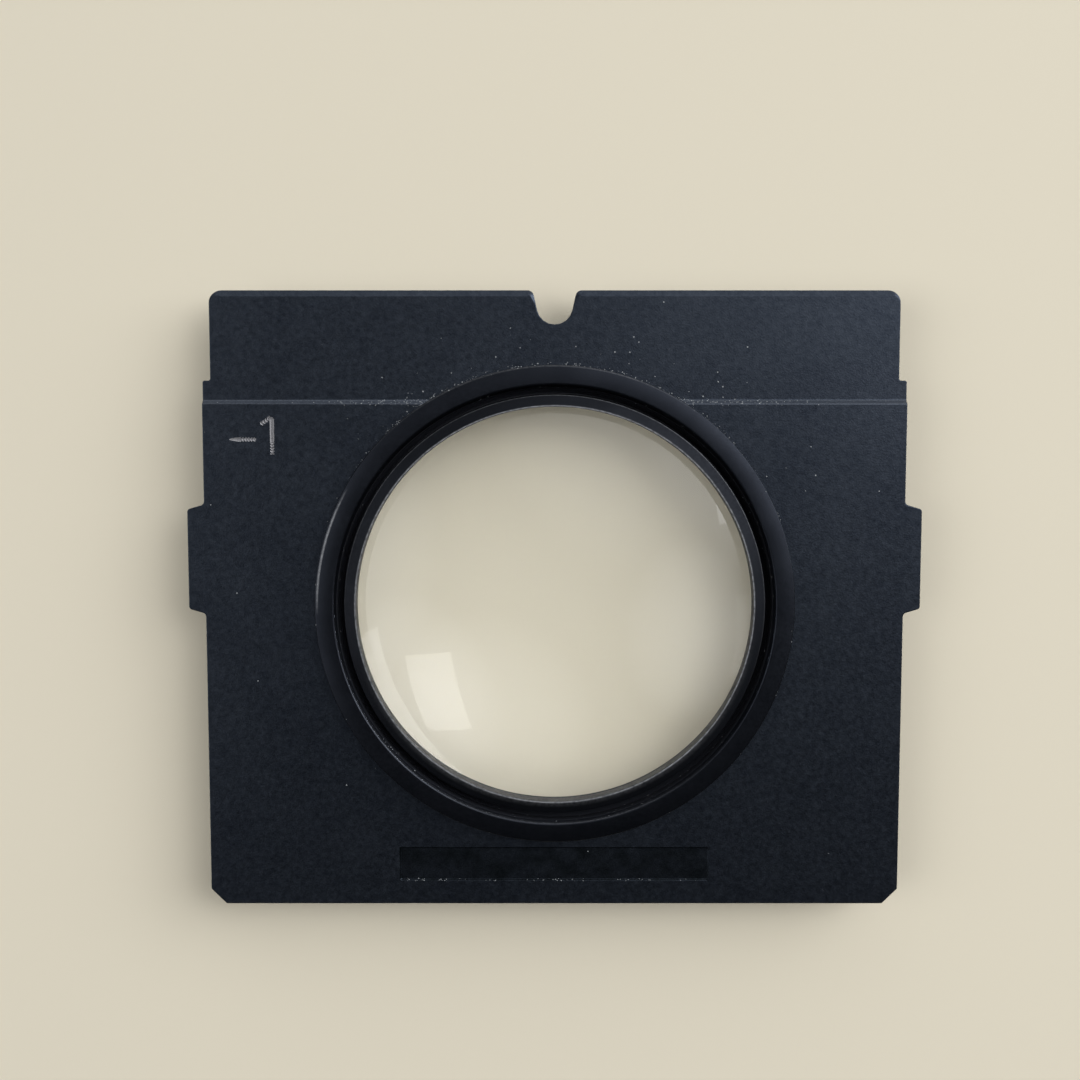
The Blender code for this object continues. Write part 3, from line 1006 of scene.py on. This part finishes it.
def make_lens():
    """A polished glass element whose edge is bevelled and finely ground."""
    shoulder = LENS_RADIUS - LENS_BEVEL
    rear, front = [], []
    for step in range(LENS_STEPS + 1):
        radius = shoulder * step / LENS_STEPS
        rear.append((radius, LENS_REAR_Z - dome(LENS_REAR_CURVE, radius), 0))
        front.append((radius, LENS_FRONT_Z + dome(LENS_FRONT_CURVE, radius), 0))
    edge = [(LENS_RADIUS, LENS_REAR_Z + LENS_BEVEL, 0), (LENS_RADIUS, LENS_FRONT_Z - LENS_BEVEL, 0)]
    lens = turned("magnifier", [*rear, *edge, *reversed(front)], glass_finish())
    lens.data.materials.append(ground_edge_finish())
    for face in lens.data.polygons:
        out = math.hypot(face.center.x, face.center.y - LENS_Y)
        face.material_index = int(out > shoulder)
    hand_over(lens, "lens", "lens")


# Stage, in metres

def make_floor():
    """A pale floor, a little brighter to the eye than the lamps make it."""
    material, tree, shader = new_finish("pale_floor")
    shader.inputs["Base Color"].default_value = (*PALE_FLOOR, 1.0)
    shader.inputs["Roughness"].default_value = 0.9
    shader.inputs["Emission Color"].default_value = (*PALE_FLOOR, 1.0)
    seen = add(tree, "ShaderNodeLightPath").outputs
    rays = maths(tree, "MAXIMUM", seen["Is Camera Ray"], seen["Is Transmission Ray"])
    rays = maths(tree, "MAXIMUM", rays, seen["Is Glossy Ray"])
    tree.links.new(product(tree, rays, FLOOR_GLOW), shader.inputs["Emission Strength"])
    mesh_data = bmesh.new()
    bmesh.ops.create_grid(mesh_data, x_segments=1, y_segments=1, size=FLOOR_HALF)
    floor = solid_from("floor", mesh_data)
    floor.location.z = -FLOOR_GAP * MM
    floor.data.materials.append(material)


def aim(turn, height):
    """The way to a place in the sky, from its turn clockwise from +Y and its height, in degrees."""
    rise = math.radians(height)
    return Vector(towards(turn)) * math.cos(rise) + Vector((0, 0, math.sin(rise)))


def soft_lamp(name, away, width, depth, roll, power):
    """A lamp aimed at the lens from LAMP_DISTANCE, rolled about its own beam by some degrees."""
    lamp = bpy.data.lights.new(name, "AREA")
    lamp.shape = "RECTANGLE"
    lamp.size = width
    lamp.size_y = depth
    lamp.energy = power
    stand = new_piece(name, lamp)
    stand.location = away * LAMP_DISTANCE
    level = away.to_track_quat("Z", "Y")
    stand.rotation_euler = (level @ Quaternion((0, 0, 1), math.radians(roll))).to_euler()


def glow(tree, direction, away, reach, strength):
    """A round glow in the sky that fades out within a reach in degrees."""
    facing = vectors(tree, "DOT_PRODUCT", direction, away)[1]
    return remap(tree, facing, math.cos(math.radians(reach)), 1.0, 0.0, strength)


def make_light():
    """A dim dome with glows at both sides and behind the tongue, a window and two low lamps."""
    soft_lamp("window_right", aim(62, 52), width=0.19, depth=0.14, roll=-18, power=0.18)
    soft_lamp("low_left", aim(272, 22), width=0.2, depth=0.2, roll=0, power=0.12)
    soft_lamp("low_right", aim(62, 24), width=0.45, depth=0.25, roll=0, power=1.0)
    world = bpy.data.worlds.new("studio")
    world.use_nodes = True
    tree = world.node_tree
    direction = add(tree, "ShaderNodeTexCoord").outputs["Generated"]
    glows = [
        glow(tree, direction, aim(64, 41), reach=30, strength=2.6),
        glow(tree, direction, aim(37, 58), reach=30, strength=1.65),
        glow(tree, direction, aim(271, 47), reach=26, strength=2.4),
        glow(tree, direction, aim(0, -15), reach=60, strength=2.2),
    ]
    light = DOME_GLOW
    for part in glows:
        light = maths(tree, "ADD", light, part)
    sky = tree.nodes["Background"].inputs
    sky["Color"].default_value = (1.0, 1.0, 1.0, 1.0)
    tree.links.new(light, sky["Strength"])
    bpy.context.scene.world = world


def make_camera():
    data = bpy.data.cameras.new("camera")
    data.sensor_width = SENSOR_WIDTH
    data.lens = SENSOR_WIDTH * FOCAL_PIXELS / FRAME_PIXELS
    data.clip_start = CAMERA_NEAREST * MM
    camera = new_piece("camera", data)
    camera.location = Vector((CAMERA_X, CAMERA_Y, PLATE_FRONT_Z + CAMERA_ABOVE_PLATE)) * MM
    camera.rotation_euler = (CAMERA_TILT, 0, 0)
    bpy.context.scene.camera = camera


TURNING = turning_tree()
bpy.context.scene.view_settings.view_transform = "Standard"
make_camera()
make_floor()
make_light()
make_plate()
make_mount()
make_ring()
make_lens()
